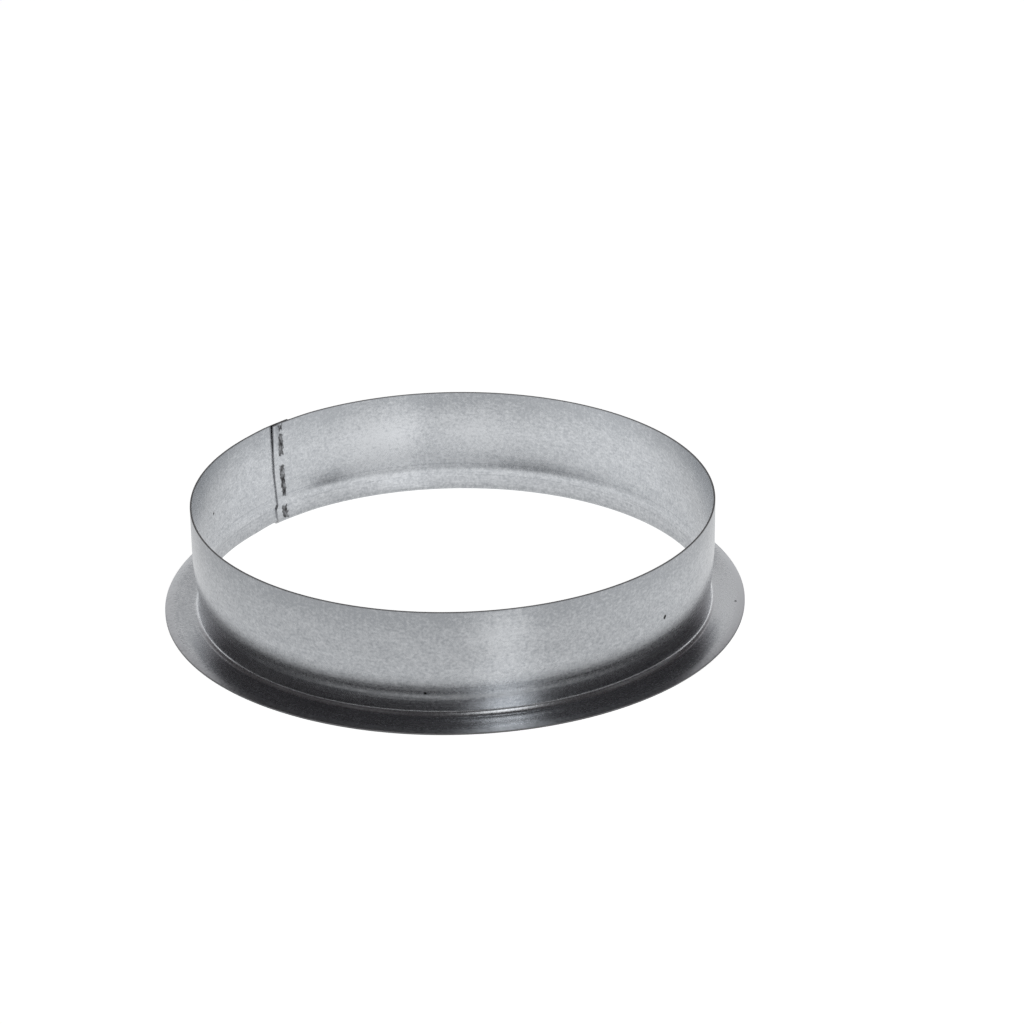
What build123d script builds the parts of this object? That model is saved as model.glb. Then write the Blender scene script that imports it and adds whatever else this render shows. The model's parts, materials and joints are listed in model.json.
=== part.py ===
from build123d import *
import math
import os

# Flanged spigot collar for round duct: one strip of galvanised sheet, rolled into a ring and lap
# welded where its ends meet, with the foot of the wall necked in and its edge turned out as a flange.
# The origin is the centre of the flange's underside, and the open spigot points up along +Z.

# Wall and flange
SPIGOT_DIAMETER = 250.0    # outside of the straight wall, which the duct slides over
HEIGHT = 53.8              # flange underside to rim
SHEET = 0.8                # thickness of the sheet
FLANGE_REACH = 14.8        # how far the flange's edge stands out past the straight wall
FOLD_RADIUS = 1.7          # tightest inside radius of the flange's two bends, on the lap's upper layer
FOLD_FLAT = 0.5            # flat between the two bends, each of which turns the sheet by 45 degrees

# Neck rolled into the foot of the wall
NECK_DEPTH = 2.2           # how far the neck lies inside the straight wall
NECK_HEIGHT = 11.8         # height where the taper's line meets the neck's
TAPER_ANGLE = 10.5         # slope of the taper between wall and neck, in degrees from upright
SHOULDER_SHARE = 0.78      # share of the taper's length that the rounding under the wall takes up
THROAT_SHARE = 0.12        # share of it that the rounding above the neck takes up

# Lap seam
LAP_AZIMUTH = 134.6        # middle of the lap, in degrees from +X towards +Y
LAP_WIDTH = 12.0           # overlap of the strip's two ends, along the wall
LAP_EASE = 16.0            # length over which each end eases from the round into the lap
SEAM_SECTIONS = 3          # sections that carry the lap and each easing end

WALL_RADIUS = SPIGOT_DIAMETER / 2
FLANGE_RADIUS = WALL_RADIUS + FLANGE_REACH

TAPER_RISE = NECK_DEPTH / math.tan(math.radians(TAPER_ANGLE))
TAPER_LENGTH = NECK_DEPTH / math.sin(math.radians(TAPER_ANGLE))
HALF_TURN = math.tan(math.radians(TAPER_ANGLE) / 2)
SHOULDER_RADIUS = SHOULDER_SHARE * TAPER_LENGTH / HALF_TURN
THROAT_RADIUS = THROAT_SHARE * TAPER_LENGTH / HALF_TURN
HALF_BEND = math.tan(math.radians(45) / 2)

LAP_ANGLE = math.degrees(LAP_WIDTH / WALL_RADIUS)
EASE_ANGLE = math.degrees(LAP_EASE / WALL_RADIUS)
OUTER_END = LAP_AZIMUTH - LAP_ANGLE / 2
INNER_END = LAP_AZIMUTH + LAP_ANGLE / 2


def section_plane(azimuth):
    """Upright plane through the axis, with its x pointing out along the azimuth and its y up."""
    turn = math.radians(azimuth)
    outward = (math.cos(turn), math.sin(turn), 0)
    sideways = (math.sin(turn), -math.cos(turn), 0)
    return Plane(origin=(0, 0, 0), x_dir=outward, z_dir=sideways)


def face_line(offset, shift):
    """Line down one face of the sheet, from the rim to the flange's edge.

    The offset is measured out of the round ring's outer face, along its normal,
    and the shift moves the wall towards or away from the axis.
    """
    wall = WALL_RADIUS + shift + offset
    neck = wall - NECK_DEPTH
    flange = SHEET + offset
    drop = offset * HALF_TURN
    bend = FOLD_RADIUS + SHEET - offset
    cut = (2 * bend * HALF_BEND + FOLD_FLAT) * math.sqrt(0.5)
    points = [
        (wall, HEIGHT),
        (wall, NECK_HEIGHT + TAPER_RISE - drop),
        (neck, NECK_HEIGHT - drop),
        (neck, flange + cut),
        (neck + cut, flange),
        (FLANGE_RADIUS, flange),
    ]
    return FilletPolyline(*points, radius=[SHOULDER_RADIUS + offset, THROAT_RADIUS - offset, bend, bend])


def sheet_section(azimuth, inner, outer, shift):
    """Section of the sheet in the plane at an azimuth, between two offsets of its face line."""
    inside = face_line(inner, shift)
    outside = face_line(outer, shift)
    rim = Line(inside @ 0, outside @ 0)
    flange_edge = Line(inside @ 1, outside @ 1)
    return section_plane(azimuth) * make_face(inside + outside + rim + flange_edge)


def easing_end(azimuth, sweep, lift):
    """End of the strip that eases from the round, at an azimuth, into its place in the lap.

    Both ends move in by half the sheet, and the one that lies outside is lifted by a whole sheet.
    """
    sections = []
    for step in range(SEAM_SECTIONS):
        along = step / (SEAM_SECTIONS - 1)
        eased = along * along * (3 - 2 * along)
        raised = eased * lift
        shift = -eased * SHEET / 2
        sections.append(sheet_section(azimuth + sweep * along, raised - SHEET, raised, shift))
    return loft(sections)


def round_ring():
    """The ring away from the seam, at its nominal radius."""
    start = INNER_END + EASE_ANGLE
    sweep = 360 - LAP_ANGLE - 2 * EASE_ANGLE
    return revolve(sheet_section(start, -SHEET, 0, 0), Axis.Z, sweep)


def welded_lap():
    """Both layers of the lap, welded together face to face."""
    sections = []
    for step in range(SEAM_SECTIONS):
        azimuth = OUTER_END + LAP_ANGLE * step / (SEAM_SECTIONS - 1)
        sections.append(sheet_section(azimuth, -SHEET, SHEET, -SHEET / 2))
    return loft(sections)


def flanged_collar():
    """The whole collar: the round ring closed by its lap seam."""
    inner_end = easing_end(OUTER_END - EASE_ANGLE, EASE_ANGLE, 0)
    outer_end = easing_end(INNER_END + EASE_ANGLE, -EASE_ANGLE, SHEET)
    return round_ring() + inner_end + welded_lap() + outer_end


os.makedirs("parts", exist_ok=True)
export_step(flanged_collar(), "parts/flanged_collar.step")
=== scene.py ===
import bpy
import json
import math
from mathutils import Matrix, Vector


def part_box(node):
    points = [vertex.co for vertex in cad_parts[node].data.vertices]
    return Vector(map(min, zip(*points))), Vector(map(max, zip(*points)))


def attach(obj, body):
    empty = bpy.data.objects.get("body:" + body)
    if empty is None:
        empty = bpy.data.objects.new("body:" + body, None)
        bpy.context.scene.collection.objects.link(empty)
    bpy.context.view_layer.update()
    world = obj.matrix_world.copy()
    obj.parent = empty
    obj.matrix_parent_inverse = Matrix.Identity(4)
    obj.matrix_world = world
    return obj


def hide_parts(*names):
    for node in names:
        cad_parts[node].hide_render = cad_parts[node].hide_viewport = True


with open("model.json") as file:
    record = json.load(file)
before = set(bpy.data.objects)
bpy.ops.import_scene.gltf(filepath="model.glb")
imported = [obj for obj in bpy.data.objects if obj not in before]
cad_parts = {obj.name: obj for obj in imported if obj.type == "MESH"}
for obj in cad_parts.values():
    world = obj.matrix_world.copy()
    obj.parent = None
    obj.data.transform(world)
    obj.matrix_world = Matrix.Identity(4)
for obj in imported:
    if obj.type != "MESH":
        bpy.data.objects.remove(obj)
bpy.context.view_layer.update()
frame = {"record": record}

# Sizes of the collar in metres: the main ones come from the frame, the rest repeat the part's own
MM = 0.001
mount_sizes = {mount["name"]: mount["dims"] for mount in frame["record"]["mounts"]}
low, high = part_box("flanged_collar")
HEIGHT = high.z
WALL_RADIUS = mount_sizes["spigot"]["r_mm"] * MM
SHEET = WALL_RADIUS - mount_sizes["duct_bore"]["r_mm"] * MM
FLANGE_RADIUS = min(high.x, high.y, -low.x, -low.y)
FLANGE_REACH = FLANGE_RADIUS - WALL_RADIUS
FLANGE_LEVEL = 3 * SHEET     # height below which a point counts as flange
FOLD_RADIUS = 1.7 * MM
FOLD_FLAT = 0.5 * MM

NECK_DEPTH = 2.2 * MM
NECK_HEIGHT = 11.8 * MM
TAPER_ANGLE = math.radians(10.5)
SHOULDER_SHARE = 0.78
THROAT_SHARE = 0.12
TAPER_RISE = NECK_DEPTH / math.tan(TAPER_ANGLE)
TAPER_LENGTH = NECK_DEPTH / math.sin(TAPER_ANGLE)
HALF_TURN = math.tan(TAPER_ANGLE / 2)
SHOULDER_RADIUS = SHOULDER_SHARE * TAPER_LENGTH / HALF_TURN
THROAT_RADIUS = THROAT_SHARE * TAPER_LENGTH / HALF_TURN
HALF_FOLD = math.pi / 4

# Lap seam
LAP_AZIMUTH = math.radians(134.6)
LAP_ANGLE = 12.0 * MM / WALL_RADIUS
EASE_ANGLE = 16.0 * MM / WALL_RADIUS
OUTER_END = LAP_AZIMUTH - LAP_ANGLE / 2
STRIP_ANGLE = 2 * math.pi + LAP_ANGLE
LAP_GAP = 0.04 * MM          # hairline left between the two layers
OUTER_SPRING = 0.15 * MM     # how far each end springs off the other layer at the rim
INNER_SPRING = 0.60 * MM
SPRING_ANGLE = LAP_ANGLE / 2
INNER_SHORT = 1.0 * MM       # how far the inner end stops short of its line
INNER_JOG = 1.3 * MM         # step in that end's edge on the neck, which begins and ends with a ramp
JOG_TOP = 0.75 * NECK_HEIGHT
JOG_TOP_RAMP = 0.2 * NECK_HEIGHT
JOG_FOOT = 2 * SHEET
JOG_FOOT_RAMP = 0.3 * NECK_HEIGHT

# Seam weld: a track of burnt dashes, each from and to so many millimetres down the strip from the rim
WELD_AZIMUTH = math.radians(134.9)
WELD_WIDTH = 4.1 * MM
WELD_DASHES = ((0.4, 4.0), (5.4, 17.8), (22.4, 39.8), (43.8, 51.4))
WELD_DENT = 0.07 * MM
DENT_RAMP = 1.2 * MM         # how far in from a dash's end its dent is full
DENT_SPREAD = 1.5            # where the dent ends, in half widths of the track
WELD_RAGGED = 3.8 * MM       # how far the burn's edge wanders
DASH_FADE = 0.8 * MM
TRACK_FADE = 0.7 * MM

# How far the real ring is from true; each wave has its count round the ring, its phase and its share
OUT_OF_ROUND = 0.22 * MM     # wave of the rim, fading to nothing at the neck
ROUND_WAVES = ((2, -4.2, 0.6), (3, 0.7, 0.4))
FLANGE_WAVE = 0.12 * MM      # wave of the flange's edge off the floor
EDGE_WAVES = ((2, 1.1, 0.2), (5, -0.4, 0.18), (7, 2.0, 0.12))
EDGE_LIFT = 0.5              # middle of that wave
FLANGE_CROWN = 0.50 * MM     # how far the flange stands off the floor inside its edge
CROWN_REACH = 5.0 * MM       # how far in from the edge the crown is highest
FLANGE_TRIM = 0.50 * MM      # how much narrower the flange is sheared on its left
TRIM_PLACE = 180.0           # degrees round the ring, and degrees wide
TRIM_WIDTH = 35.0
TIGHT_RADIUS = 1.00 * MM     # fold where it is tightest
TIGHT_FLAT = 0.3 * MM

# Where the fold is tight, and where it has a painted highlight: degrees round the ring and degrees wide
FOLD_MARKS = ((-140.0, 36.0), (-14.0, 24.0))
FOLD_HIGHLIGHTS = ((-119.0, 22.0), (-45.0, 15.0))

# Where the neck and the fold are rolled deeper than drawn, or shallower if below zero: degrees round the
# ring, degrees wide, millimetres deeper, millimetres up and millimetres to either side
ROLL_MARKS = (
    (0.0, math.inf, -0.11, 12.0, 5.0),
    (122.6, 6.5, 0.46, 12.0, 5.0),
    (134.6, 7.0, -0.45, 12.0, 5.0),
    (68.0, 17.0, 0.32, 12.0, 5.0),
    (102.0, 9.0, -0.12, 12.0, 5.0),
    (35.0, 16.0, 0.22, 12.0, 5.0),
    (159.0, 12.0, 0.20, 12.0, 5.0),
    (-135.0, 25.0, -0.10, 12.0, 5.0),
    (-47.0, 22.0, -0.14, 12.0, 5.0),
    (-8.0, 26.0, -0.50, 8.0, 10.0),
    (-24.0, 18.0, -0.32, 16.0, 8.0),
    (-154.0, 14.0, -0.12, 15.0, 7.0),
    (-148.0, 22.0, -0.60, 0.5, 3.6),
    (-26.0, 20.0, -0.65, 0.5, 3.6),
)

# Mesh: spans across the strip, face by face from the rim to the flange's edge, and spans along it
WALL_SPANS = 12
SHOULDER_SPANS = 14
TAPER_SPANS = 2
THROAT_SPANS = 6
NECK_SPANS = 6
BEND_SPANS = 6
FLANGE_SPANS = 8
ROUND_SPANS = 344
EASE_SPANS = 18
LAP_SPANS = 44
SHARP_ANGLE = math.radians(35)
FACES_APART = 1.0            # how far the outer face lies from the inner one on the map of the flat strip

# Colours
WHITE = (1.0, 1.0, 1.0, 1.0)
ZINC_DARK = (0.46, 0.48, 0.505, 1.0)
ZINC_LIGHT = (0.70, 0.72, 0.745, 1.0)
WELD_BURN = (0.055, 0.053, 0.056, 1.0)
# Cut steel in two copies: painted shade on the rim and flange edges, painted light on the strip's ends
SHADED_EDGE_DARK = (0.11, 0.11, 0.113, 1.0)
SHADED_EDGE_LIGHT = (0.26, 0.26, 0.265, 1.0)
LIT_END_DARK = (0.50, 0.50, 0.51, 1.0)
LIT_END_LIGHT = (0.74, 0.74, 0.75, 1.0)
PIT_DARK = (0.012, 0.012, 0.012, 1.0)

# Grains of the zinc coat: millimetres along the strip and across it, detail, and weight in the shade
ZINC_GRAINS = (
    ("Mottle", 13.0, 9.0, 4.0, 0.6),
    ("Cloud", 3.2, 4.0, 2.0, 0.9),
    ("Grain", 1.3, 1.3, 2.0, 1.8),
    ("Fleck", 2.6, 1.3, 2.0, 1.1),
)
ROLLER_GRAINS = ((70.0, 0.45, 3.0), (45.0, 1.5, 2.0))      # the same, without a weight
ROLLER_SHARE = 0.6
RAGGED_GRAIN = (1.1 * MM, 1.8 * MM, 4.0)
BURN_GRAIN = (1.3 * MM, 3.2 * MM, 3.0)
BURN_PATCHES = (0.36, 0.64, 0.40, 1.0)

# Painted light on the coat, lighter patches standing in for reflections: degrees round the ring,
# millimetres down the strip from the rim, millimetres out to where they end, and how much lighter
PAINTED_LIGHT_PATCHES = (
    (108.0, 23.0, 32.0, 0.55),
    (-3.0, 62.0, 55.0, 0.75),
    (-80.0, 7.0, 24.0, 0.45),
    (85.0, 22.0, 30.0, 0.35),
)

# Pits in the coat: degrees round the ring, millimetres down the strip from the rim, millimetres across,
# and whether they are on the outside; then the shares of that size by which a pit's edge wanders, where
# the pit is darkest and where it ends
COAT_PITS = (
    (-38.4, 27.4, 2.3, True),
    (161.7, 26.1, 1.6, False),
    (-95.6, 41.8, 1.4, True),
    (-5.0, 64.5, 1.3, True),
)
PIT_RAGGED = 0.8
PIT_CORE = -0.1
PIT_END = 0.2

# Painted shade along the creases from the forming rolls' edges: millimetres up and millimetres wide
ROLL_LINES = ((15.0, 0.45), (9.2, 0.4))
LINE_CORE = 0.2              # share of its width where a line is full
LINE_BREAKS = (0.35, 0.60)

# Painted highlight along the fold, rougher there too
FOLD_HIGHLIGHT_CORE = 0.3 * MM
FOLD_HIGHLIGHT_REACH = 1.1 * MM
FOLD_HIGHLIGHT_FULL = 0.4               # share of a stretch's reach where it is full
FOLD_HIGHLIGHT_BREAKS = (0.25, 0.60, 0.4, 1.0)

# Margins and zones of the coat, down the strip from the rim or in from the flange's edge
SHEAR_EDGE = 0.1 * MM        # dark margin that shearing leaves
SHEAR_MARGIN = 0.5 * MM
SHEAR_AT_FLANGE = 0.3
SHEAR_SHARE = 0.65
RIM_PAINTED_SHADE_DEPTH = 16 * MM           # how far down from the rim shade is painted on the coat
FLANGE_MARGIN = 5.0 * MM     # margin of the flange, rougher, with painted light making it paler
MARGIN_FULL = 2.0 * MM
WORKED_START = HEIGHT - NECK_HEIGHT - TAPER_RISE     # where the necked foot begins
WORKED_ZONE = (WORKED_START, WORKED_START + 5 * MM)
POLISHED_ZONE = (HEIGHT - 13.5 * MM, HEIGHT - 9.5 * MM)
FLANGE_ZONE = (HEIGHT - 4 * MM, HEIGHT - 2 * MM)

# What each effect adds to the coat's shade, which goes from dark zinc at 0 to light zinc at 1
SHADE_BASE = -1.7
STREAK_SHADE = 1.1
ROLL_CREASE_PAINTED_SHADE = -0.5
FOLD_HIGHLIGHT_SHADE = 0.5
PAINTED_SHADE_AT_RIM = -0.45
MARGIN_PAINTED_LIGHT = 0.35

# What each adds to its roughness, and how the burn dulls the metal
ROUGH_BASE = 0.21
GRAIN_ROUGH = 0.10
STREAK_ROUGH = 0.15
WORKED_ROUGH = 0.025
POLISHED_ROUGH = -0.055
FLANGE_ROUGH = 0.03
FOLD_HIGHLIGHT_ROUGH = 0.25
MARGIN_ROUGH = 0.05
BURNT_ROUGH = 0.20
BURNT_METALLIC = -0.5
EDGE_ROUGH = 0.4             # roughness of the cut edges, and what their grain adds
EDGE_GRAIN = 0.2

# Relief of the coat's grain
FLECK_RELIEF = 0.5
STREAK_RELIEF = 0.6
BUMP_STRENGTH = 0.05
BUMP_DEPTH = 0.1 * MM

# Camera, as the photograph's own was
PHOTO_SIDE = 1024
FOCAL_PIXELS = 3554.3
CAMERA_DISTANCE = 1.6973
CAMERA_ELEVATION = math.radians(25.03)
CAMERA_ROLL = math.radians(-0.772)
CAMERA_TARGET = Vector((0.02821, 0.0, 0.04447))
SENSOR_WIDTH = 36.0

# Floor as the camera sees it
FLOOR_RADIUS = 6.0
FLOOR_SIDES = 96
FLOOR_DROP = 0.2 * MM        # keeps the floor clear of the flange's underside
FLOOR_WHITE = 0.96           # floor's own white in the picture, which the shadow leaves
FLOOR_SHADE = (0.42, 0.42, 0.42, 1.0)
FLOOR_MATT = (0.9, 0.9, 0.9, 1.0)

# Floor as the metal sees it, glowing with painted light and shade: how bright it is, and where
FLOOR_AT_MIDDLE = 0.62       # at the ring's middle
FLOOR_IN_RING = 0.96         # between the middle and the wall, which throws its light there
FLOOR_AT_WALL = 0.66         # close to the wall inside the ring
FLOOR_BY_FLANGE = 0.74       # beside the flange
FLOOR_ROUND_RING = 0.66      # further out
FLOOR_BEHIND = 0.30          # what the backdrop adds to the floor before it
FLOOR_ON_RIGHT = 0.11        # and what the key light adds beside the ring
MIDDLE_ZONE = (0.0, 0.6 * WALL_RADIUS)
WALL_ZONE = (0.74 * WALL_RADIUS, WALL_RADIUS)
OUTER_ZONE = (FLANGE_RADIUS, 1.45 * WALL_RADIUS)
BEHIND_ZONE = (WALL_RADIUS, 5 * WALL_RADIUS)
RIGHT_ZONE = (0.8 * WALL_RADIUS, 1.6 * WALL_RADIUS)
FLOOR_GLOSS = (0.16, 0.16, 0.16, 1.0)
FLOOR_GLOSS_ROUGH = 0.2

# Surroundings as the metal sees them, by the direction's part towards the backdrop, back or up
BACKDROP_SIDE = (-0.08, 0.997, 0.0)
BACKDROP_EDGE = (0.58, 0.94)
BACKDROP_RISE = (0.08, 0.42)
BACKDROP_LOW = 1.05
BACKDROP_HIGH = 0.64
HORIZON_GLOW = 1.3           # low light round the sides
HORIZON_BACK = (0.12, 0.45)
HORIZON_FOOT = (-0.02, 0.06)
HORIZON_TOP = (0.10, 0.20)
FRONT_GLOW = 0.055
ROOM_TINT = (1.0, 0.91, 0.94, 1.0)

# Key light
KEY_AZIMUTH = math.radians(23.0)
KEY_ELEVATION = math.radians(38.0)
KEY_DISTANCE = 1.6
KEY_SIZE = (0.45, 1.0)
KEY_POWER = 2.6


def smooth(x):
    """Eases from 0 to 1 as x does."""
    x = min(max(x, 0.0), 1.0)
    return x * x * (3 - 2 * x)


def spread(start, end, spans):
    """Evenly spaced values from just after the start to the end."""
    return [start + (end - start) * step / spans for step in range(1, spans + 1)]


def hump(azimuth, place, width):
    """Round hump of height 1 at a place on the ring, which is given in degrees like its width."""
    aside = math.remainder(azimuth - math.radians(place), 2 * math.pi) / math.radians(width)
    return math.exp(-aside * aside)


def waves(azimuth, base, parts):
    """Sum of waves round the ring, on a base."""
    return sum((share * math.cos(count * azimuth + phase) for count, phase, share in parts), base)


def face_points(offset, shift, tight=0.0):
    """Radius and height of the points down one face of the sheet, from the rim to the flange's edge.

    The offset is measured out of the round ring's outer face, and the shift moves the wall radially.
    The fold goes from its own size to its tightest.
    """
    wall = WALL_RADIUS + shift + offset
    neck = wall - NECK_DEPTH
    drop = offset * HALF_TURN
    shoulder = SHOULDER_RADIUS + offset
    throat = THROAT_RADIUS - offset
    bend = FOLD_RADIUS + tight * (TIGHT_RADIUS - FOLD_RADIUS) + SHEET - offset
    flat = FOLD_FLAT + tight * (TIGHT_FLAT - FOLD_FLAT)
    flange = SHEET + offset
    cut = (2 * bend * math.tan(HALF_FOLD / 2) + flat) * math.sqrt(0.5)
    bend_reach = bend * math.tan(HALF_FOLD / 2)
    shoulder_top = NECK_HEIGHT + TAPER_RISE - drop + shoulder * HALF_TURN
    throat_foot = NECK_HEIGHT - drop - throat * HALF_TURN
    throat_middle = neck + throat
    bend_top = flange + cut + bend_reach
    bend_end = neck + cut + bend_reach

    points = [(wall, HEIGHT)]
    points += [(wall, z) for z in spread(HEIGHT, shoulder_top, WALL_SPANS)]
    for turn in spread(0.0, TAPER_ANGLE, SHOULDER_SPANS):
        radius = wall - shoulder + shoulder * math.cos(turn)
        points.append((radius, shoulder_top - shoulder * math.sin(turn)))
    taper_top = points[-1]
    throat_points = []
    for turn in [TAPER_ANGLE] + spread(TAPER_ANGLE, 0.0, THROAT_SPANS):
        radius = throat_middle - throat * math.cos(turn)
        throat_points.append((radius, throat_foot + throat * math.sin(turn)))
    for along in spread(0.0, 1.0, TAPER_SPANS):
        points.append(tuple(a + (b - a) * along for a, b in zip(taper_top, throat_points[0])))
    points += throat_points[1:]
    points += [(neck, z) for z in spread(throat_foot, bend_top, NECK_SPANS)]
    for turn in spread(0.0, HALF_FOLD, BEND_SPANS):
        points.append((neck + bend - bend * math.cos(turn), bend_top - bend * math.sin(turn)))
    for turn in [HALF_FOLD] + spread(HALF_FOLD, 2 * HALF_FOLD, BEND_SPANS):
        points.append((bend_end - bend * math.cos(turn), flange + bend - bend * math.sin(turn)))
    points += [(r, flange) for r in spread(bend_end, FLANGE_RADIUS, FLANGE_SPANS)]
    return points


def distances_down(points):
    """Distance of each point from the rim, along the face."""
    total = 0.0
    distances = [0.0]
    for a, b in zip(points, points[1:]):
        total += math.dist(a, b)
        distances.append(total)
    return distances


def strip_columns():
    """Angles along the strip, from its outer end, round the ring and under that end to its inner end."""
    stretches = (
        (LAP_ANGLE, LAP_SPANS),
        (EASE_ANGLE, EASE_SPANS),
        (2 * math.pi - LAP_ANGLE - 2 * EASE_ANGLE, ROUND_SPANS),
        (EASE_ANGLE, EASE_SPANS),
        (LAP_ANGLE, LAP_SPANS),
    )
    columns = [0.0]
    for angle, spans in stretches:
        columns += spread(columns[-1], columns[-1] + angle, spans)
    return columns


def lap_place(angle):
    """How far the sheet is lifted and shifted at an angle along the strip."""
    into_outer = 1 - smooth((angle - LAP_ANGLE) / EASE_ANGLE)
    into_inner = smooth((angle - (STRIP_ANGLE - LAP_ANGLE - EASE_ANGLE)) / EASE_ANGLE)
    lift = into_outer * (SHEET + LAP_GAP)
    shift = -(into_outer + into_inner) * SHEET / 2
    return lift, shift


def end_spring(angle, height):
    """How far a point near either end of the strip springs outward, or inward if below zero."""
    near_outer = smooth(1 - angle / SPRING_ANGLE)
    near_inner = smooth(1 - (STRIP_ANGLE - angle) / SPRING_ANGLE)
    return (near_outer * OUTER_SPRING - near_inner * INNER_SPRING) * (height / HEIGHT) ** 3


def end_short(angle, height):
    """Angle by which the inner end stops short of its line, with a jog on the neck."""
    near_inner = smooth(1 - (STRIP_ANGLE - angle) / LAP_ANGLE)
    below = 1 - smooth((height - JOG_TOP) / JOG_TOP_RAMP)
    above = smooth((height - JOG_FOOT) / JOG_FOOT_RAMP)
    return near_inner * (INNER_SHORT - below * above * INNER_JOG) / WALL_RADIUS


def out_of_round(azimuth, height):
    """Slow wave of the wall, strongest at the rim."""
    up_wall = smooth((height - NECK_HEIGHT) / (HEIGHT - NECK_HEIGHT))
    return OUT_OF_ROUND * waves(azimuth, 0.0, ROUND_WAVES) * up_wall


def neck_roll(azimuth, height):
    """How much deeper the neck is rolled than drawn, or shallower if below zero."""
    depth = 0.0
    for place, width, deeper, level, reach in ROLL_MARKS:
        across = (height - level * MM) / (reach * MM)
        depth += deeper * MM * hump(azimuth, place, width) * math.exp(-across * across)
    return depth


def fold_tightness(azimuth):
    """How tight the fold is at an azimuth, up to 1."""
    return min(sum(hump(azimuth, place, width) for place, width in FOLD_MARKS), 1.0)


def flange_lift(azimuth, radius):
    """Lift of the flange off the floor: a low crown inside its edge, and a slight wave of the edge."""
    outer = max(0.0, 1 - (FLANGE_RADIUS - radius) / CROWN_REACH)
    inner = smooth((radius - WALL_RADIUS) / (FLANGE_REACH - CROWN_REACH))
    crown = FLANGE_CROWN * inner * (1 - outer * outer)
    return crown + FLANGE_WAVE * waves(azimuth, EDGE_LIFT, EDGE_WAVES) * smooth(outer)


def flange_trim(azimuth, radius):
    """How much narrower the flange is sheared on its left."""
    along_flange = max(0.0, radius - WALL_RADIUS) / FLANGE_REACH
    return FLANGE_TRIM * hump(azimuth, TRIM_PLACE, TRIM_WIDTH) * along_flange


def weld_depth(angle, down):
    """Depth of the weld's dent, by angle along the strip and distance down it from the rim."""
    outer_track = WELD_AZIMUTH - OUTER_END
    across = min(abs(angle - outer_track), abs(angle - outer_track - 2 * math.pi)) * WALL_RADIUS
    beside = smooth(DENT_SPREAD - across / (WELD_WIDTH / 2))
    depth = 0.0
    for start, end in WELD_DASHES:
        inside = min(down - start * MM, end * MM - down) / DENT_RAMP
        depth = max(depth, smooth(inside) * beside)
    return WELD_DENT * depth


def ring_point(angle, radius, height, down, side):
    """Place on the real ring of a point of the drawn one; a weld's dent moves it to the given side."""
    azimuth = OUTER_END + angle - end_short(angle, height)
    raised = height
    if height < FLANGE_LEVEL:
        raised += flange_lift(azimuth, radius)
    radius += end_spring(angle, height) + out_of_round(azimuth, height)
    out_along_flange = smooth((radius - WALL_RADIUS) / FLANGE_REACH)
    radius -= neck_roll(azimuth, height) * (1 - out_along_flange) + flange_trim(azimuth, radius)
    if height > FLANGE_LEVEL:
        radius += side * weld_depth(angle, down)
    return radius * math.cos(azimuth), radius * math.sin(azimuth), raised


def strip_faces(columns, rows):
    """Faces of the strip, and where those of its edges and then of its ends begin among them.

    The faces of its two sides take turns, the outer one first.
    """
    def point(column, row, inside):
        return (2 * column + inside) * rows + row

    last = rows - 1
    end = columns - 1
    faces = []
    for c in range(end):
        for r in range(last):
            faces.append((point(c, r, 0), point(c, r + 1, 0), point(c + 1, r + 1, 0), point(c + 1, r, 0)))
            faces.append((point(c, r, 1), point(c + 1, r, 1), point(c + 1, r + 1, 1), point(c, r + 1, 1)))
    edges_from = len(faces)
    for c in range(end):
        faces.append((point(c, 0, 0), point(c + 1, 0, 0), point(c + 1, 0, 1), point(c, 0, 1)))
        faces.append((point(c, last, 0), point(c, last, 1), point(c + 1, last, 1), point(c + 1, last, 0)))
    ends_from = len(faces)
    for r in range(last):
        faces.append((point(0, r, 0), point(0, r, 1), point(0, r + 1, 1), point(0, r + 1, 0)))
        faces.append((point(end, r, 0), point(end, r + 1, 0), point(end, r + 1, 1), point(end, r, 1)))
    return faces, edges_from, ends_from


def strip_mesh():
    """The lapped strip as a closed mesh, with a map of the flat strip in metres."""
    columns = strip_columns()
    down = distances_down(face_points(0.0, 0.0))
    vertices = []
    flat = []
    for angle in columns:
        lift, shift = lap_place(angle)
        tight = fold_tightness(OUTER_END + angle)
        for offset, side in ((lift, -1), (lift - SHEET, 1)):
            for row, (radius, height) in enumerate(face_points(offset, shift, tight)):
                vertices.append(ring_point(angle, radius, height, down[row], side))
                flat.append((angle * WALL_RADIUS, down[row]))
    faces, edges_from, ends_from = strip_faces(len(columns), len(down))

    mesh = bpy.data.meshes.new("collar_sheet")
    mesh.from_pydata(vertices, [], faces)
    flat_map = mesh.uv_layers.new(name="flat_strip")
    for polygon in mesh.polygons:
        outside = polygon.index < edges_from and polygon.index % 2 == 0
        for loop in polygon.loop_indices:
            along, below_rim = flat[mesh.loops[loop].vertex_index]
            flat_map.data[loop].uv = (along + outside * FACES_APART, below_rim)
        polygon.use_smooth = True
        polygon.material_index = (polygon.index >= edges_from) + (polygon.index >= ends_from)
    mesh.set_sharp_from_angle(angle=SHARP_ANGLE)
    mesh.validate()
    return mesh


def add_node(tree, kind, inputs=None, **settings):
    """Adds a node, sets its options, and links or sets its inputs by name or number."""
    node = tree.nodes.new(kind)
    for name, value in settings.items():
        setattr(node, name, value)
    for name, value in (inputs or {}).items():
        if isinstance(value, bpy.types.NodeSocket):
            tree.links.new(value, node.inputs[name])
        else:
            node.inputs[name].default_value = value
    return node


def math_node(tree, operation, *values):
    """Adds a math node and gives back its result."""
    return add_node(tree, "ShaderNodeMath", dict(enumerate(values)), operation=operation).outputs[0]


def combined(tree, operation, values):
    """Joins several values by one operation."""
    total = values[0]
    for value in values[1:]:
        total = math_node(tree, operation, total, value)
    return total


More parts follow.
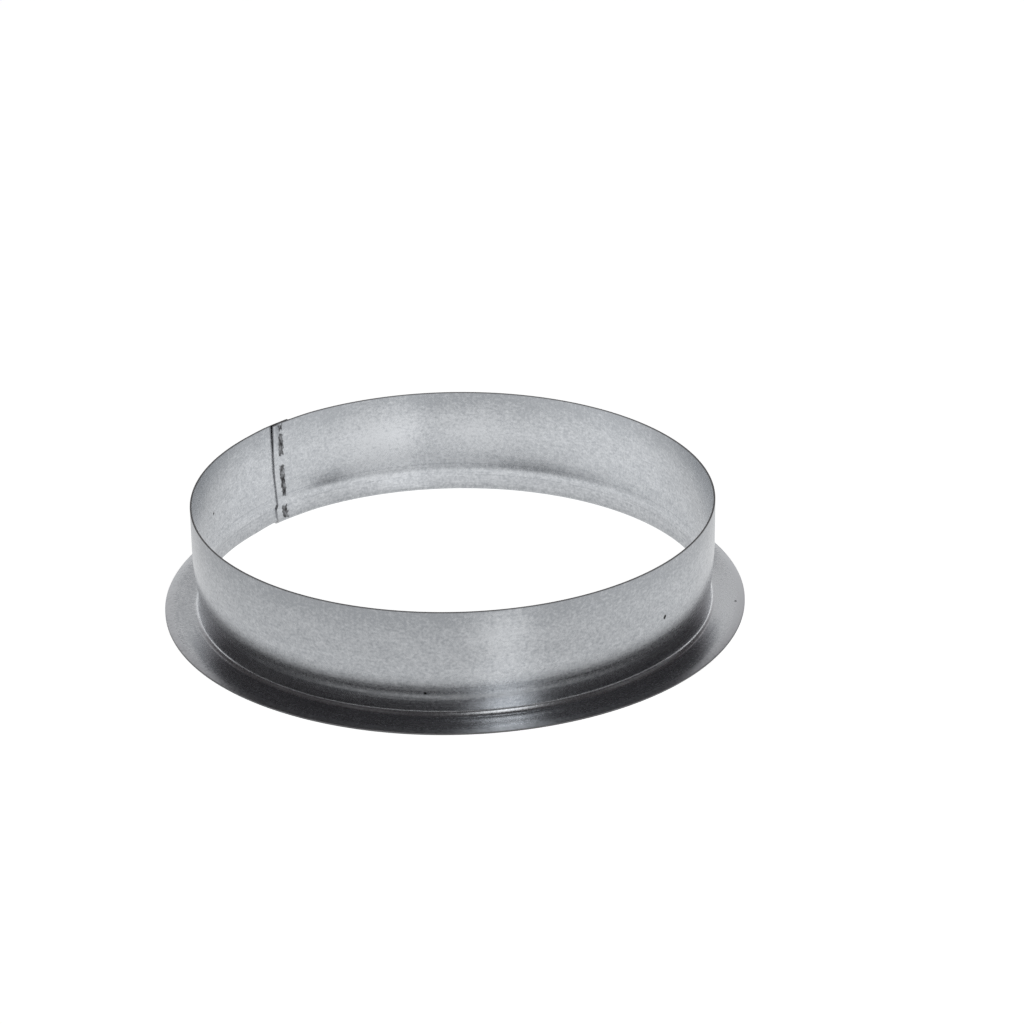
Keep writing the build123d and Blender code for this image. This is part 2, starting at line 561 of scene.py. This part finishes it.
def weighted_sum(tree, base, terms):
    """Adds values to a base, each with its weight."""
    total = base
    for value, weight in terms:
        total = math_node(tree, "MULTIPLY_ADD", value, weight, total)
    return total


def apart(tree, value, place):
    """How far a value lies from a place, to either side."""
    return math_node(tree, "ABSOLUTE", math_node(tree, "SUBTRACT", value, place))


def ramp_value(tree, value, low, high, to_low=0.0, to_high=1.0):
    """Maps a value smoothly from one range to another."""
    inputs = {"Value": value, "From Min": low, "From Max": high, "To Min": to_low, "To Max": to_high}
    return add_node(tree, "ShaderNodeMapRange", inputs, interpolation_type="SMOOTHSTEP").outputs["Result"]


def mix_colour(tree, factor, first, second):
    """Mixes two colours."""
    return add_node(tree, "ShaderNodeMix", {0: factor, 6: first, 7: second}, data_type="RGBA").outputs[2]


def strip_noise(tree, place, along, across, detail):
    """Noise on the flat strip, with a grain of the given length along it and across it."""
    scale = (1 / along, 1 / across, 1.0)
    scaled = add_node(tree, "ShaderNodeVectorMath", {0: place, 1: scale}, operation="MULTIPLY").outputs[0]
    inputs = {"Vector": scaled, "Scale": 1.0, "Detail": detail}
    return add_node(tree, "ShaderNodeTexNoise", inputs).outputs["Fac"]


def along_strip(azimuth):
    """Distance along the strip of an azimuth in degrees."""
    return (math.radians(azimuth) - OUTER_END) % (2 * math.pi) * WALL_RADIUS


def strip_distance(tree, place, along, below_rim):
    """Distance on the flat strip from a point that lies so many millimetres below the rim."""
    both = {0: place, 1: (along, below_rim * MM, 0.0)}
    return add_node(tree, "ShaderNodeVectorMath", both, operation="DISTANCE").outputs["Value"]


def new_group(name, outputs):
    """A node group that takes a place on the flat strip, with its input and its output node."""
    group = bpy.data.node_groups.new(name, "ShaderNodeTree")
    group.interface.new_socket("Place", in_out="INPUT", socket_type="NodeSocketVector")
    for output in outputs:
        group.interface.new_socket(output, in_out="OUTPUT", socket_type="NodeSocketFloat")
    return group, add_node(group, "NodeGroupInput").outputs["Place"], add_node(group, "NodeGroupOutput")


def zinc_grain_group():
    """Grain of the zinc coat on the flat strip: wide mottle, small clouds, fine grain and short flecks."""
    group, place, out = new_group("zinc_grain", [grain[0] for grain in ZINC_GRAINS])
    for name, along, across, detail, weight in ZINC_GRAINS:
        group.links.new(strip_noise(group, place, along * MM, across * MM, detail), out.inputs[name])
    return group


def roller_lines_group():
    """Fine lines that the forming rolls leave along the strip, lighter and darker than the coat."""
    group, place, out = new_group("roller_lines", ["Lines"])
    terms = []
    for along, across, detail in ROLLER_GRAINS:
        terms.append((strip_noise(group, place, along * MM, across * MM, detail), ROLLER_SHARE))
    group.links.new(weighted_sum(group, -ROLLER_SHARE, terms), out.inputs["Lines"])
    return group


def new_material(name):
    """A material with an empty node tree and its output."""
    material = bpy.data.materials.new(name)
    material.use_nodes = True
    material.node_tree.nodes.clear()
    return material, material.node_tree, add_node(material.node_tree, "ShaderNodeOutputMaterial")


def weld_mask(tree, along, down, ragged):
    """Where the seam weld has burnt the zinc, on both ends of the strip."""
    track = (WELD_AZIMUTH - OUTER_END) * WALL_RADIUS
    rough_edge = math_node(tree, "MULTIPLY_ADD", ragged, WELD_RAGGED, -WELD_RAGGED / 2)
    dashes = []
    for start, end in WELD_DASHES:
        past_start = math_node(tree, "SUBTRACT", down, start * MM)
        before_end = math_node(tree, "SUBTRACT", end * MM, down)
        inside = math_node(tree, "ADD", math_node(tree, "MINIMUM", past_start, before_end), rough_edge)
        dashes.append(ramp_value(tree, inside, 0.0, DASH_FADE))
    tracks = []
    for place in (track, track + 2 * math.pi * WALL_RADIUS):
        inside = math_node(tree, "SUBTRACT", WELD_WIDTH / 2, apart(tree, along, place))
        tracks.append(ramp_value(tree, math_node(tree, "ADD", inside, rough_edge), 0.0, TRACK_FADE))
    return math_node(tree, "MULTIPLY", combined(tree, "MAXIMUM", dashes), combined(tree, "MAXIMUM", tracks))


def pit_mask(tree, place, ragged):
    """Where the few larger pits in the coat are."""
    pits = []
    for azimuth, below_rim, size, outside in COAT_PITS:
        along = along_strip(azimuth) + outside * FACES_APART
        aside = strip_distance(tree, place, along, below_rim)
        edge = math_node(tree, "MULTIPLY_ADD", ragged, -PIT_RAGGED * size * MM, aside)
        pits.append(ramp_value(tree, edge, PIT_CORE * size * MM, PIT_END * size * MM, 1.0, 0.0))
    return combined(tree, "MAXIMUM", pits)


def painted_light_patches(tree, on_strip):
    """Wide patches of painted light, where the coat is painted lighter."""
    lit_patches = []
    for azimuth, below_rim, size, lighter in PAINTED_LIGHT_PATCHES:
        aside = strip_distance(tree, on_strip, along_strip(azimuth), below_rim)
        lit_patches.append(ramp_value(tree, aside, 0.0, size * MM, lighter, 0.0))
    return combined(tree, "ADD", lit_patches)


def painted_roll_crease_shade(tree, down, ragged):
    """Broken lines of painted shade along the creases the forming rolls left round the neck."""
    lines = []
    for height, width in ROLL_LINES:
        aside = apart(tree, down, HEIGHT - height * MM)
        lines.append(ramp_value(tree, aside, LINE_CORE * width * MM, width * MM, 1.0, 0.0))
    broken = ramp_value(tree, ragged, *LINE_BREAKS)
    return math_node(tree, "MULTIPLY", combined(tree, "MAXIMUM", lines), broken)


def painted_fold_highlight(tree, along, down, ragged):
    """Painted highlight along parts of the fold: a lighter, rougher line."""
    fold_row = WALL_SPANS + SHOULDER_SPANS + TAPER_SPANS + THROAT_SPANS + NECK_SPANS + BEND_SPANS
    middle = distances_down(face_points(0.0, 0.0))[fold_row]
    line = ramp_value(tree, apart(tree, down, middle), FOLD_HIGHLIGHT_CORE, FOLD_HIGHLIGHT_REACH, 1.0, 0.0)
    stretches = []
    for place, width in FOLD_HIGHLIGHTS:
        reach = math.radians(width) * WALL_RADIUS
        aside = apart(tree, along, along_strip(place))
        stretches.append(ramp_value(tree, aside, FOLD_HIGHLIGHT_FULL * reach, reach, 1.0, 0.0))
    fold_glint = combined(tree, "ADD", stretches)
    broken = ramp_value(tree, ragged, *FOLD_HIGHLIGHT_BREAKS)
    return combined(tree, "MULTIPLY", (line, fold_glint, broken))


def sheared_mask(tree, down, strip_width):
    """Narrow dark margin that shearing leaves beside the rim and the flange's edge."""
    at_rim = ramp_value(tree, down, SHEAR_EDGE, SHEAR_MARGIN, 1.0, 0.0)
    margin_start = strip_width - SHEAR_MARGIN
    at_flange = ramp_value(tree, down, margin_start, strip_width - SHEAR_EDGE, 0.0, SHEAR_AT_FLANGE)
    return math_node(tree, "MAXIMUM", at_rim, at_flange)


def galvanised_sheet(zinc_grain, roller_lines):
    """Satin zinc coat with a fine grain, roller lines on the worked foot and burnt weld dashes."""
    material, tree, out = new_material("galvanised_sheet")
    place = add_node(tree, "ShaderNodeUVMap", uv_map="flat_strip").outputs["UV"]
    across_map, down = add_node(tree, "ShaderNodeSeparateXYZ", {0: place}).outputs[:2]
    between_faces = (FACES_APART + STRIP_ANGLE * WALL_RADIUS) / 2
    outside = math_node(tree, "GREATER_THAN", across_map, between_faces)
    along = math_node(tree, "MULTIPLY_ADD", outside, -FACES_APART, across_map)
    on_strip = add_node(tree, "ShaderNodeCombineXYZ", {0: along, 1: down}).outputs[0]
    grain = add_node(tree, "ShaderNodeGroup", {"Place": place}, node_tree=zinc_grain).outputs
    lines = add_node(tree, "ShaderNodeGroup", {"Place": place}, node_tree=roller_lines).outputs
    strip_width = distances_down(face_points(0.0, 0.0))[-1]

    worked = ramp_value(tree, down, *WORKED_ZONE)
    streak = math_node(tree, "MULTIPLY", lines["Lines"], worked)
    ragged = strip_noise(tree, place, *RAGGED_GRAIN)
    patchy = ramp_value(tree, strip_noise(tree, place, *BURN_GRAIN), *BURN_PATCHES)
    burnt = math_node(tree, "MULTIPLY", weld_mask(tree, along, down, ragged), patchy)
    bare = math_node(tree, "MULTIPLY", sheared_mask(tree, down, strip_width), SHEAR_SHARE)
    # Painted highlight along the fold
    fold_glint = painted_fold_highlight(tree, along, down, ragged)
    # Painted shade on the coat, darkest at the rim
    painted_shade_near_rim = ramp_value(tree, down, 0.0, RIM_PAINTED_SHADE_DEPTH, 1.0, 0.0)
    # Margin of the flange: rougher, with painted light making it paler
    margin = ramp_value(tree, down, strip_width - FLANGE_MARGIN, strip_width - MARGIN_FULL)

    terms = [(grain[name], weight) for name, along_size, across_size, detail, weight in ZINC_GRAINS]
    terms += [
        # Painted light in lighter patches of the coat
        (painted_light_patches(tree, on_strip), 1.0),
        (streak, STREAK_SHADE),
        # Painted shade along the roll creases
        (painted_roll_crease_shade(tree, down, ragged), ROLL_CREASE_PAINTED_SHADE),
        (fold_glint, FOLD_HIGHLIGHT_SHADE),
        (painted_shade_near_rim, PAINTED_SHADE_AT_RIM),
        (margin, MARGIN_PAINTED_LIGHT),
    ]
    colour = mix_colour(tree, weighted_sum(tree, SHADE_BASE, terms), ZINC_DARK, ZINC_LIGHT)
    colour = mix_colour(tree, burnt, colour, WELD_BURN)
    colour = mix_colour(tree, bare, colour, SHADED_EDGE_DARK)
    colour = mix_colour(tree, pit_mask(tree, place, ragged), colour, PIT_DARK)

    satin = weighted_sum(tree, ROUGH_BASE, (
        (grain["Grain"], GRAIN_ROUGH),
        (streak, STREAK_ROUGH),
        (worked, WORKED_ROUGH),
        (ramp_value(tree, down, *POLISHED_ZONE), POLISHED_ROUGH),
        (ramp_value(tree, down, *FLANGE_ZONE), FLANGE_ROUGH),
        (fold_glint, FOLD_HIGHLIGHT_ROUGH),
        (margin, MARGIN_ROUGH),
        (burnt, BURNT_ROUGH),
    ))
    metallic = math_node(tree, "MULTIPLY_ADD", burnt, BURNT_METALLIC, 1.0)
    relief = weighted_sum(tree, grain["Grain"], ((grain["Fleck"], FLECK_RELIEF), (streak, STREAK_RELIEF)))
    bump_inputs = {"Height": relief, "Strength": BUMP_STRENGTH, "Distance": BUMP_DEPTH}
    bump = add_node(tree, "ShaderNodeBump", bump_inputs).outputs[0]

    inputs = {"Base Color": colour, "Roughness": satin, "Metallic": metallic, "Normal": bump}
    shader = add_node(tree, "ShaderNodeBsdfPrincipled", inputs)
    tree.links.new(shader.outputs[0], out.inputs["Surface"])
    return material


def cut_edge(name, dark, light, zinc_grain):
    """Sheared edge or end of the strip: bare grey steel, rougher than the coat."""
    material, tree, out = new_material(name)
    place = add_node(tree, "ShaderNodeUVMap", uv_map="flat_strip").outputs["UV"]
    grain = add_node(tree, "ShaderNodeGroup", {"Place": place}, node_tree=zinc_grain).outputs
    # Painted shade on the edges, painted light on the ends, by the colours given
    colour = mix_colour(tree, grain["Mottle"], dark, light)
    rough = math_node(tree, "MULTIPLY_ADD", grain["Grain"], EDGE_GRAIN, EDGE_ROUGH)
    inputs = {"Base Color": colour, "Roughness": rough, "Metallic": 1.0}
    shader = add_node(tree, "ShaderNodeBsdfPrincipled", inputs)
    tree.links.new(shader.outputs[0], out.inputs["Surface"])
    return material


def floor_glow(tree):
    """How bright the floor shows in the metal, from place to place."""
    place = add_node(tree, "ShaderNodeTexCoord").outputs["Object"]
    from_axis = add_node(tree, "ShaderNodeVectorMath", {0: place}, operation="LENGTH").outputs["Value"]
    inside = ramp_value(tree, from_axis, *MIDDLE_ZONE, FLOOR_AT_MIDDLE, FLOOR_IN_RING)
    fading = ramp_value(tree, from_axis, *WALL_ZONE, 1.0, FLOOR_AT_WALL / FLOOR_IN_RING)
    past_wall = FLOOR_BY_FLANGE - FLOOR_AT_WALL
    past_flange = FLOOR_ROUND_RING - FLOOR_BY_FLANGE
    sides = add_node(tree, "ShaderNodeSeparateXYZ", {0: place}).outputs
    return combined(tree, "ADD", (
        math_node(tree, "MULTIPLY", inside, fading),
        ramp_value(tree, from_axis, WALL_RADIUS, FLANGE_RADIUS, 0.0, past_wall),
        ramp_value(tree, from_axis, *OUTER_ZONE, 0.0, past_flange),
        ramp_value(tree, sides[1], *BEHIND_ZONE, 0.0, FLOOR_BEHIND),
        ramp_value(tree, sides[0], *RIGHT_ZONE, 0.0, FLOOR_ON_RIGHT),
    ))


def floor_material():
    """White floor that keeps the collar's shadow; the metal sees it with a slight gloss."""
    material, tree, out = new_material("white_floor")
    light_path = add_node(tree, "ShaderNodeLightPath").outputs
    matt = add_node(tree, "ShaderNodeBsdfDiffuse", {"Color": FLOOR_MATT}).outputs[0]
    shade = add_node(tree, "ShaderNodeBsdfDiffuse", {"Color": FLOOR_SHADE}).outputs[0]
    white = add_node(tree, "ShaderNodeEmission", {"Color": WHITE, "Strength": FLOOR_WHITE}).outputs[0]
    in_picture = add_node(tree, "ShaderNodeAddShader", {0: shade, 1: white}).outputs[0]
    # Painted light and shade on the floor, as the metal sees it
    glow = add_node(tree, "ShaderNodeEmission", {"Color": WHITE, "Strength": floor_glow(tree)}).outputs[0]
    gloss_inputs = {"Color": FLOOR_GLOSS, "Roughness": FLOOR_GLOSS_ROUGH}
    gloss = add_node(tree, "ShaderNodeBsdfGlossy", gloss_inputs).outputs[0]
    in_metal = add_node(tree, "ShaderNodeAddShader", {0: glow, 1: gloss}).outputs[0]

    seen = light_path["Is Camera Ray"]
    reflected = math_node(tree, "MAXIMUM", light_path["Is Glossy Ray"], light_path["Is Transmission Ray"])
    unlit = add_node(tree, "ShaderNodeMixShader", {0: seen, 1: matt, 2: in_picture}).outputs[0]
    mixed = add_node(tree, "ShaderNodeMixShader", {0: reflected, 1: unlit, 2: in_metal}).outputs[0]
    tree.links.new(mixed, out.inputs["Surface"])
    return material


def add_floor():
    """A round white floor under the flange."""
    bpy.ops.mesh.primitive_circle_add(
        vertices=FLOOR_SIDES, radius=FLOOR_RADIUS, fill_type="NGON", location=(0, 0, -FLOOR_DROP)
    )
    floor = bpy.context.object
    floor.name = "studio_floor"
    floor.data.materials.append(floor_material())


def add_surroundings():
    """White to the camera; for the metal, a bright backdrop behind and a dim room in front."""
    world = bpy.data.worlds.new("studio")
    world.use_nodes = True
    tree = world.node_tree
    tree.nodes.clear()
    direction = add_node(tree, "ShaderNodeTexCoord").outputs["Generated"]
    parts = add_node(tree, "ShaderNodeSeparateXYZ", {0: direction}).outputs
    both = {0: direction, 1: BACKDROP_SIDE}
    to_backdrop = add_node(tree, "ShaderNodeVectorMath", both, operation="DOT_PRODUCT").outputs["Value"]
    behind = ramp_value(tree, to_backdrop, *BACKDROP_EDGE)
    backdrop = ramp_value(tree, parts[2], *BACKDROP_RISE, BACKDROP_LOW, BACKDROP_HIGH)
    over_front = math_node(tree, "SUBTRACT", backdrop, FRONT_GLOW)
    room = math_node(tree, "MULTIPLY_ADD", behind, over_front, FRONT_GLOW)
    horizon = combined(tree, "MULTIPLY", (
        ramp_value(tree, parts[1], *HORIZON_BACK),
        ramp_value(tree, parts[2], *HORIZON_TOP, HORIZON_GLOW, 0.0),
        ramp_value(tree, parts[2], *HORIZON_FOOT),
    ))
    level = math_node(tree, "MAXIMUM", room, horizon)

    seen = add_node(tree, "ShaderNodeLightPath").outputs["Is Camera Ray"]
    unseen = math_node(tree, "SUBTRACT", 1.0, seen)
    strength = math_node(tree, "MULTIPLY_ADD", level, unseen, seen)
    untinted = combined(tree, "MAXIMUM", (behind, horizon, seen))
    tint = mix_colour(tree, untinted, ROOM_TINT, WHITE)
    background = add_node(tree, "ShaderNodeBackground", {"Color": tint, "Strength": strength})
    out = add_node(tree, "ShaderNodeOutputWorld")
    tree.links.new(background.outputs[0], out.inputs["Surface"])
    bpy.context.scene.world = world


def add_key_light():
    """Tall softbox to the right of the camera, which draws the bright streak down the front."""
    lamp = bpy.data.lights.new("key_softbox", "AREA")
    lamp.shape = "RECTANGLE"
    lamp.size, lamp.size_y = KEY_SIZE
    lamp.energy = KEY_POWER
    key = bpy.data.objects.new("key_softbox", lamp)
    outward = Vector((math.sin(KEY_AZIMUTH), -math.cos(KEY_AZIMUTH), 0)) * math.cos(KEY_ELEVATION)
    outward.z = math.sin(KEY_ELEVATION)
    key.location = outward * KEY_DISTANCE
    key.rotation_euler = outward.to_track_quat("Z", "Y").to_euler()
    bpy.context.collection.objects.link(key)


def add_camera():
    """Camera at the photograph's place, with its focal length and slight roll."""
    forward = Vector((0, math.cos(CAMERA_ELEVATION), -math.sin(CAMERA_ELEVATION)))
    level_right = Vector((1, 0, 0))
    level_up = level_right.cross(forward)
    right = math.cos(CAMERA_ROLL) * level_right + math.sin(CAMERA_ROLL) * level_up
    up = math.cos(CAMERA_ROLL) * level_up - math.sin(CAMERA_ROLL) * level_right
    place = CAMERA_TARGET - CAMERA_DISTANCE * forward
    lens = bpy.data.cameras.new("photo_camera")
    lens.sensor_width = SENSOR_WIDTH
    lens.lens = FOCAL_PIXELS / PHOTO_SIDE * SENSOR_WIDTH
    camera = bpy.data.objects.new("photo_camera", lens)
    camera.matrix_world = Matrix.Translation(place) @ Matrix((right, up, -forward)).transposed().to_4x4()
    bpy.context.collection.objects.link(camera)
    bpy.context.scene.camera = camera


def add_collar():
    """The collar's sheet, standing for the CAD solid."""
    zinc_grain = zinc_grain_group()
    mesh = strip_mesh()
    mesh.materials.append(galvanised_sheet(zinc_grain, roller_lines_group()))
    mesh.materials.append(cut_edge("cut_edge", SHADED_EDGE_DARK, SHADED_EDGE_LIGHT, zinc_grain))
    mesh.materials.append(cut_edge("lit_cut_end", LIT_END_DARK, LIT_END_LIGHT, zinc_grain))
    collar = bpy.data.objects.new("collar_sheet", mesh)
    bpy.context.collection.objects.link(collar)
    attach(collar, "root")
    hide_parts("flanged_collar")


add_camera()
add_collar()
add_floor()
add_surroundings()
add_key_light()
bpy.context.scene.view_settings.view_transform = "Standard"
